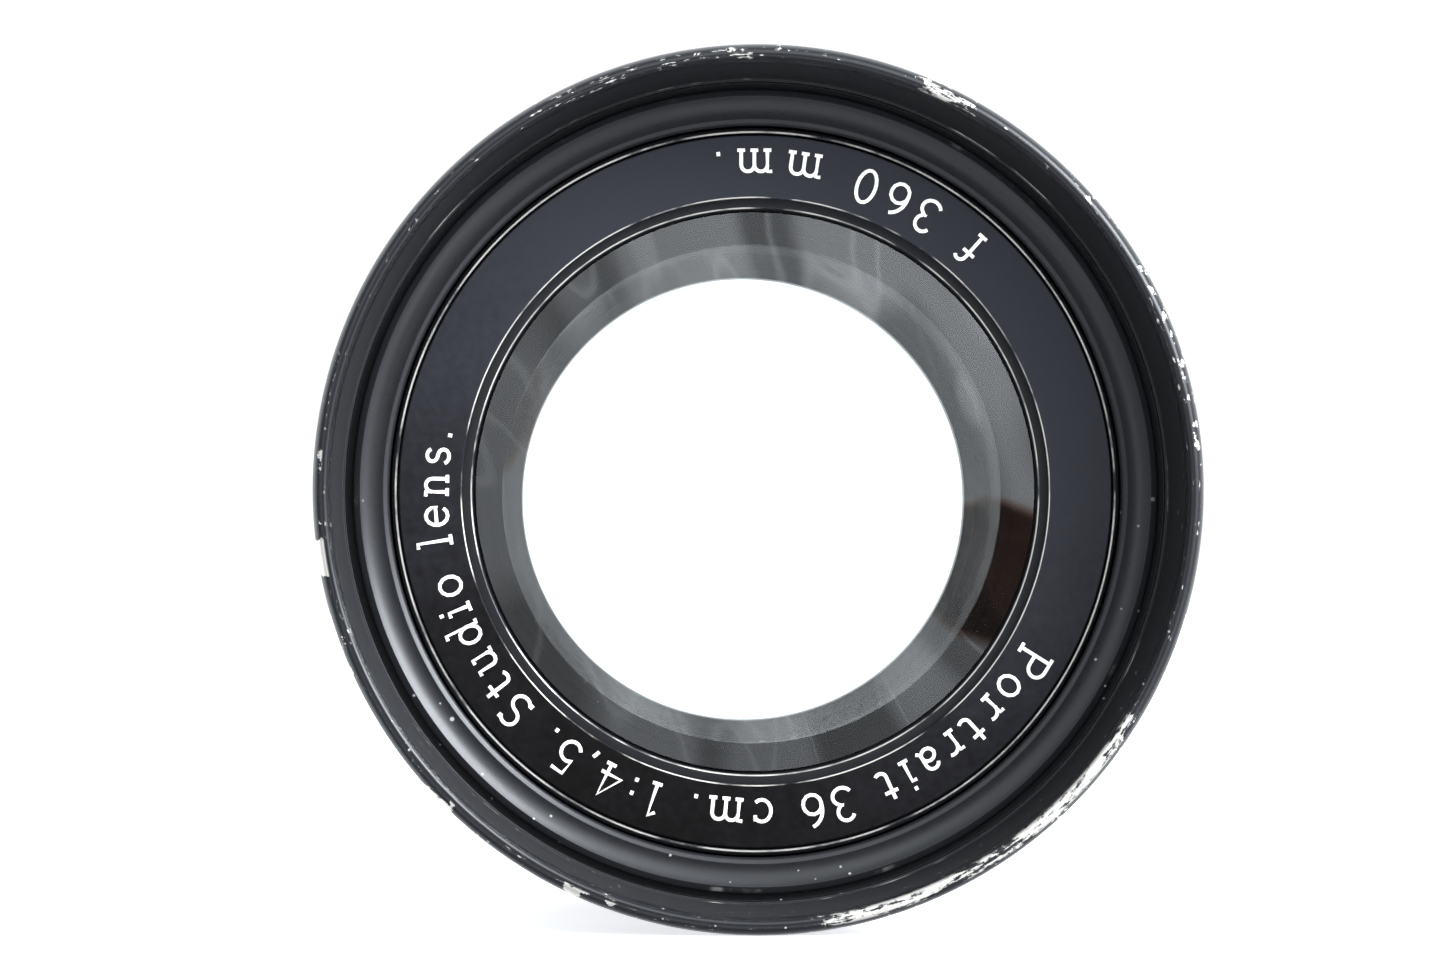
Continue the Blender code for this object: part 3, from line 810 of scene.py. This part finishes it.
def radialRod(name, radius, near, far, angle, station, sides=48):
    deselect()
    middle = (near + far) / 2 * mm
    place = (middle * math.cos(angle), frontY + station * mm, middle * math.sin(angle))
    turn = (0, math.pi / 2 - angle, 0)
    bpy.ops.mesh.primitive_cylinder_add(
        vertices=sides, radius=radius * mm, depth=(far - near) * mm, location=place, rotation=turn
    )
    rod = bpy.context.object
    rod.name = name
    return rod


barrel = {
    "boreR": 52.4,
    "tubeR": 56.0,
    "collarEnd": 18.0,
    "shoulder": (42.0, 44.7),
    "lipR": 47.6,
    "lip": (66.2, 68.2),
    "slotHalf": 1.9,
    "slotPlay": 2.6,  # degrees past each end of the turn
}
screwStation = sum(extent("iris_cam_ring")[1:]) / 2


def makeBarrel():
    collarR, front, rear = extent("main_barrel")
    boreR, tubeR = barrel["boreR"], barrel["tubeR"]
    shoulderFront, shoulderRear = barrel["shoulder"]
    lipFront, lipRear = barrel["lip"]
    collarEnd = barrel["collarEnd"]
    outline = [(boreR, front), (collarR, front), (collarR, collarEnd), (tubeR, collarEnd + 0.4)]
    outline += [(tubeR, shoulderFront), (collarR, shoulderFront)]
    outline += [(collarR, shoulderRear), (tubeR, shoulderRear)]
    outline += [(tubeR, rear), (boreR, rear)]
    outline += [(boreR, lipRear), (barrel["lipR"], lipRear), (barrel["lipR"], lipFront), (boreR, lipFront)]
    piece = turnPiece("mainBarrel", soften(outline, 0.2))
    travel = next(j for j in frame["joints"] if j["name"] == "aperture_turn")["range_deg"][1]
    half, play = barrel["slotHalf"], barrel["slotPlay"]
    slot = flatRing(boreR - 1, tubeR + 1, screwStation - half, screwStation + half)
    for angle in driveAngles:
        cutAway(piece, turnPiece("slotCutter", slot, 40, sweep=travel + 2 * play, start=angle - play))
    settle(piece)
    edges = [(collarR, s, 0.35, 0.35) for s in barrel["shoulder"]]
    hang(piece, "barrel", "black_lacquered_brass", lacquer("barrelLacquer", edges), "main_barrel")
    blacken(piece, lambda radius, station: radius < boreR + 0.05 and station > front + 1)


def angleOf(node):
    low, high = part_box(node)
    middle = (low + high) / 2
    return math.degrees(math.atan2(middle.z, middle.x))


driveAngles = [angleOf("drive_screw_1"), angleOf("drive_screw_2")]
apertureRing = {
    "innerR": 56.3,
    "ribs": 150,
    "ribDepth": 0.45,
    "bands": ((1.6, 5.4), (15.6, 19.4)),
    "bevel": (0.7, 0.9),
    "groove": (0.5, 0.1, 0.7, 0.9),  # depth, then stations behind each band
    "wellR": 2.3,
    "wellFloor": 58.3,
    "holeR": 1.2,
}


def makeApertureRing():
    outerR, front, rear = extent("aperture_ring")
    innerR = apertureRing["innerR"]
    bevelR, bevelS = apertureRing["bevel"]
    deep, grooveStart, grooveEnd, grooveTop = apertureRing["groove"]
    outline = [(innerR, front), (outerR - bevelR, front), (outerR, front + bevelS)]
    for start, end in apertureRing["bands"]:
        for station in (start, start + 0.3, end - 0.3, end):
            outline.append((outerR, front + station))
        outline += [(outerR - deep, front + end + grooveStart), (outerR - deep, front + end + grooveEnd)]
        outline.append((outerR, front + end + grooveTop))
    outline += [(outerR - bevelR, rear), (innerR, rear)]
    steps = apertureRing["ribs"] * 3
    piece = turnPiece("apertureRing", outline, steps)
    bands = [(front + start + 0.2, front + end - 0.2) for start, end in apertureRing["bands"]]
    ribbed(piece, outerR - 0.2, outerR + 0.2, bands, steps, apertureRing["ribDepth"])
    wellR, wellFloor, holeR = apertureRing["wellR"], apertureRing["wellFloor"], apertureRing["holeR"]
    for angle in map(math.radians, driveAngles):
        cutAway(piece, radialRod("well", wellR, wellFloor, outerR + 2, angle, screwStation))
        cutAway(piece, radialRod("hole", holeR, innerR - 2, wellFloor + 0.7, angle, screwStation, 24))
    settle(piece, 28)
    edges = [(outerR, front + end, 0.3, 0.3) for start, end in apertureRing["bands"]]
    finish = lacquer("apertureLacquer", edges, gloss=0.3)
    hang(piece, "aperture_control", "black_lacquered_brass", finish, "aperture_ring")


driveScrew = {
    "headR": 2.0,
    "head": (58.6, 60.2),  # where it sits and where it ends, from the axis
    "crown": 0.12,
    "shankR": 0.9,
    "shank": 9,
    "slot": (1.3, 0.5, 6),
}


def makeDriveScrews():
    seat, top = driveScrew["head"]
    for i, angle in enumerate(map(math.radians, driveAngles)):
        head = radialRod(f"driveScrew{i + 1}", driveScrew["headR"], seat, top, angle, screwStation)
        pick(head)
        bpy.ops.object.transform_apply(location=True, rotation=True, scale=True)
        outward = Vector((math.cos(angle), 0, math.sin(angle)))
        selectPoints(head, lambda point: point.dot(outward) > (top - 0.1) * mm)
        bpy.ops.mesh.inset(thickness=0.25 * mm)
        bpy.ops.transform.translate(value=outward * driveScrew["crown"] * mm)
        selectPoints(head, lambda point: point.dot(outward) < (seat + 0.1) * mm)
        bpy.ops.mesh.inset(thickness=(driveScrew["headR"] - driveScrew["shankR"]) * mm)
        inward = -outward * driveScrew["shank"] * mm
        bpy.ops.mesh.extrude_region_move(TRANSFORM_OT_translate={"value": inward})
        bpy.ops.object.mode_set(mode="OBJECT")
        deselect()
        place = outward * (top + 0.2) * mm
        place.y = frontY + screwStation * mm
        bpy.ops.mesh.primitive_cube_add(size=mm, location=place, rotation=(0, -angle, 0))
        slot = bpy.context.object
        slot.scale = driveScrew["slot"]
        cutAway(head, slot)
        settle(head)
        hang(head, "aperture_control", "screw_steel", screwSteel, f"drive_screw_{i + 1}")


scale = {
    "stops": (4.5, 6.3, 9, 12.5, 18),
    "index": 100,  # angle of the index mark from +X towards +Z
    "openR": 36.5,
    "pinCircle": 92,
    "height": 3.4,
    "gap": 0.12,
    "stroke": 0.36,
    "numerals": 12.6,  # behind the ring's front
    "marks": 8.2,
    "indexHeight": 3.0,
    "indexStroke": 0.45,
}


def stopTurn(number):  # how far the ring turns, in degrees, from the first stop to this one
    swing = 2 * math.asin((scale["openR"] - scale["openR"] * scale["stops"][0] / number) / scale["pinCircle"])
    return math.degrees(swing) / frame["record"]["behaviour"]["couplings"][0]["ratio"]


def makeScale():
    outerR, front = extent("aperture_ring")[:2]
    height = scale["height"]
    forward = Vector((0, -1, 0))
    marks = []
    for number in scale["stops"]:
        angle = math.radians(scale["index"] - stopTurn(number))
        out = Vector((math.cos(angle), 0, math.sin(angle)))
        words = f"{number:g}".replace(".", ",")
        widths = [(letters[letter][0] * letterWidth + scale["gap"]) * height for letter in words]
        run = -sum(widths) / 2
        for letter, width in zip(words, widths):
            outNow = Matrix.Rotation((run + width / 2) / outerR, 3, forward) @ out
            middle = outNow * outerR * mm
            middle.y = frontY + (front + scale["numerals"]) * mm
            marks.append((letter, middle, forward.cross(outNow), forward))
            run += width
        line = out * outerR * mm
        line.y = frontY + (front + scale["marks"]) * mm
        marks.append(("|", line, forward.cross(out), forward))
    piece = engraving("apertureScale", marks, scale["stroke"], height)
    hang(piece, "aperture_control", "black_lacquered_brass", filling)
    angle = math.radians(scale["index"])
    out = Vector((math.cos(angle), 0, math.sin(angle)))
    line = out * extent("main_barrel")[0] * mm
    line.y = frontY + (barrel["shoulder"][1] - 0.4) * mm
    marks = [("|", line, forward.cross(out), forward)]
    piece = engraving("indexMark", marks, scale["indexStroke"], scale["indexHeight"])
    hang(piece, "barrel", "black_lacquered_brass", filling)


collar = {"innerR": 56.3, "notches": 4, "firstNotch": 20, "notchR": 1.3, "notchDepth": 1.6}
flange = {
    "innerR": 56.3,
    "holes": 6,
    "firstHole": 30,
    "circleR": 60,
    "holeR": 2.1,
    "sinkR": (3.7, 2.0),
    "sink": 1.7,
}


def makeCollarAndFlange():
    outerR, front, rear = extent("collar_ring")
    piece = turnPiece("collarRing", soften(flatRing(collar["innerR"], outerR, front, rear), 0.25))
    for i in range(collar["notches"]):
        angle = math.radians(collar["firstNotch"] + 360 / collar["notches"] * i)
        near, far = outerR - collar["notchDepth"], outerR + 2
        cutAway(piece, radialRod("notch", collar["notchR"], near, far, angle, (front + rear) / 2, 32))
    settle(piece)
    finish = lacquer("collarLacquer", [(outerR, front, 0.3, 0.3)])
    hang(piece, "barrel", "black_lacquered_brass", finish, "collar_ring")
    outerR, front, rear = extent("flange_ring")
    piece = turnPiece("flangeRing", soften(flatRing(flange["innerR"], outerR, front, rear), 0.4))
    for i in range(flange["holes"]):
        angle = math.radians(flange["firstHole"] + 360 / flange["holes"] * i)
        reach = flange["circleR"] * mm
        place = Vector((reach * math.cos(angle), frontY + (front + rear) / 2 * mm, reach * math.sin(angle)))
        deselect()
        bpy.ops.mesh.primitive_cylinder_add(
            vertices=40,
            radius=flange["holeR"] * mm,
            depth=8 * mm,
            location=place,
            rotation=(math.pi / 2, 0, 0),
        )
        cutAway(piece, bpy.context.object)
        deselect()
        place.y = frontY + (front + 0.6) * mm
        bpy.ops.mesh.primitive_cone_add(
            vertices=40,
            radius1=flange["sinkR"][0] * mm,
            radius2=flange["sinkR"][1] * mm,
            depth=flange["sink"] * mm,
            location=place,
            rotation=(-math.pi / 2, 0, 0),
        )
        cutAway(piece, bpy.context.object)
    settle(piece)
    edges = [(outerR, front + 0.1, 0.35, 0.45), (outerR, rear - 0.1, 0.35, 0.45)]
    hang(piece, "barrel", "black_lacquered_brass", lacquer("flangeLacquer", edges), "flange_ring")


rearCell = {
    "ribs": 140,
    "ribDepth": 0.45,
    "ribsEnd": 84.6,
    "threadR": 52.1,
    "shell": (49.3, 71.0, 76.0),  # radius inside the thread, and where it starts and ends
    "tubeR": 42.5,
    "lip": (36.9, 68.2),
    "seat": (38.3, 82.9),
    "bore": (40.8, 91.5),
    "shoulderEnd": 85.3,
    "cone": (49.5, 87.0),
    "rimR": (47.6, 43.4),
}


def makeRearCell():
    outerR, front, rear = extent("rear_cell")
    shoulder = extent("main_barrel")[2] + 0.3
    shellR, shellStart, shellEnd = rearCell["shell"]
    lipR, lipS = rearCell["lip"]
    seatR, seatS = rearCell["seat"]
    boreR, boreS = rearCell["bore"]
    rimOuterR, rimInnerR = rearCell["rimR"]
    ribsEnd = rearCell["ribsEnd"]
    outline = [
        (lipR, front),
        (rearCell["tubeR"], front),
        (rearCell["tubeR"], shellEnd),
        (shellR, shellEnd),
        (shellR, shellStart),
        (rearCell["threadR"], shellStart),
        (rearCell["threadR"], shoulder),
        (outerR - 0.5, shoulder),
        (outerR, shoulder + 0.5),
        (outerR, shoulder + 0.9),
        (outerR, ribsEnd - 0.4),
        (outerR, ribsEnd),
        (outerR - 0.6, rearCell["shoulderEnd"]),
        rearCell["cone"],
        (rimOuterR, rear),
        (rimInnerR, rear),
        (boreR, boreS),
        (boreR, seatS),
        (seatR, seatS),
        (seatR, lipS),
        (lipR, lipS),
    ]
    steps = rearCell["ribs"] * 3
    piece = turnPiece("rearCell", outline, steps)
    ribs = [(shoulder + 0.7, ribsEnd - 0.2)]
    ribbed(piece, outerR - 0.2, outerR + 0.2, ribs, steps, rearCell["ribDepth"])
    settle(piece, 28)
    edges = [(outerR, ribsEnd - 0.1, 0.3, 0.3), (rimOuterR, rear, 0.4, 0.45), (rimInnerR, rear, 0.3, 0.4)]
    finish = lacquer("rearLacquer", edges, gloss=0.3)
    hang(piece, "barrel", "black_lacquered_brass", finish, "rear_cell")
    blacken(piece, lambda radius, station: radius < shellR + 0.1 and station < boreS + 0.1)


makeBarrel()
makeApertureRing()
makeDriveScrews()
makeScale()
makeCollarAndFlange()
makeRearCell()
print("barrel and rear turned")


# Floor, backdrop and light


stage = {"floorSize": 12, "floor": (0.86, 0.86, 0.87, 1), "glow": (0.97, 0.975, 1.0, 1), "glowStrength": 0.72}
room = {
    "wall": 1.9,  # white wall behind the lens
    "backdrop": 1.05,  # what the camera itself sees
    "air": (0.90, 0.95, 1.0, 1),
    # angle from +X towards +Z, degrees off the axis, then the half angles of its core and of its edge
    "onlooker": (-100, 4, 8, 26),
    "window": (36, 62, 10, 24),
    "windowLevel": 16,
    "chair": (-16, 35, 8, 10),
    "chairColour": (1.0, 0.55, 0.38, 1),
}


def makeStage():
    deselect()
    bpy.ops.mesh.primitive_plane_add(size=stage["floorSize"], location=(0, 0, floorZ))
    floor = bpy.context.object
    floor.name = "floor"
    white = material("floorWhite", {"Base Color": stage["floor"], "Roughness": 0.7})
    white.set("Emission Color", stage["glow"])
    white.set("Emission Strength", stage["glowStrength"])
    floor.data.materials.append(white.owner)
    floor.visible_glossy = False
    floor.visible_transmission = False


def makeLight():
    # white behind the lens, curtains in front of it, one bright window to the upper right and a brown chair
    world = bpy.data.worlds.new("room")
    bpy.context.scene.world = world
    recipe = Recipe(world)
    x, y, z = recipe.parts(recipe.place("Generated"))

    def towards(angle, off, inside, outside):  # 1 within some degrees of a direction, seen from the lens
        away, turn = math.radians(off), math.radians(angle)
        aim = math.sin(away) * math.cos(turn), -math.cos(away), math.sin(away) * math.sin(turn)
        facing = x * aim[0] + y * aim[1] + z * aim[2]
        return recipe.smooth(facing, math.cos(math.radians(outside)), math.cos(math.radians(inside)))

    behind = recipe.smooth(y, -0.02, 0.3) * (recipe.smooth(z, -0.75, -0.42) * 0.75 + 0.25)
    side = recipe.smooth(x * 0.75 + z * 0.66, -0.5, 0.7)
    hanging = recipe.add("CombineXYZ", {}, {0: x * 5 + z * 2, 1: z * 1.2 - x * 0.8, 2: y * 1.5})
    folds = recipe.noise(hanging, 1.0, 1, 0.4)
    ridges = recipe.maths("ABSOLUTE", recipe.noise(hanging, 1.7, 0, 0.3) - 0.5)
    creases = 1 - recipe.smooth(ridges, 0.0, 0.035)
    curtain = recipe.smooth(y, -0.97, -0.86) * recipe.smooth(y, -0.2, -0.6) * (side * 0.7 + 0.6)
    curtain = curtain * (recipe.smooth(folds, 0.42, 0.57) * 1.7 + creases * 1.0 + 0.8)
    ahead = (side * 0.5 + 0.10) * (1 - towards(*room["onlooker"]) * 0.8) + curtain
    window = towards(*room["window"]) * (folds * 12 + room["windowLevel"])
    chair = towards(*room["chair"])
    level = (ahead * (1 - behind) + behind * room["wall"] + window) * (1 - chair * 0.93)
    seen = recipe.add("LightPath", output=0)
    tinted = recipe.colour(chair, room["air"], room["chairColour"])
    recipe.set("Color", recipe.colour(seen, tinted, (1, 1, 1, 1)))
    recipe.set("Strength", level * (1 - seen) + seen * room["backdrop"])


makeStage()
makeLight()
bpy.context.scene.view_settings.view_transform = "Standard"
print("stage set")
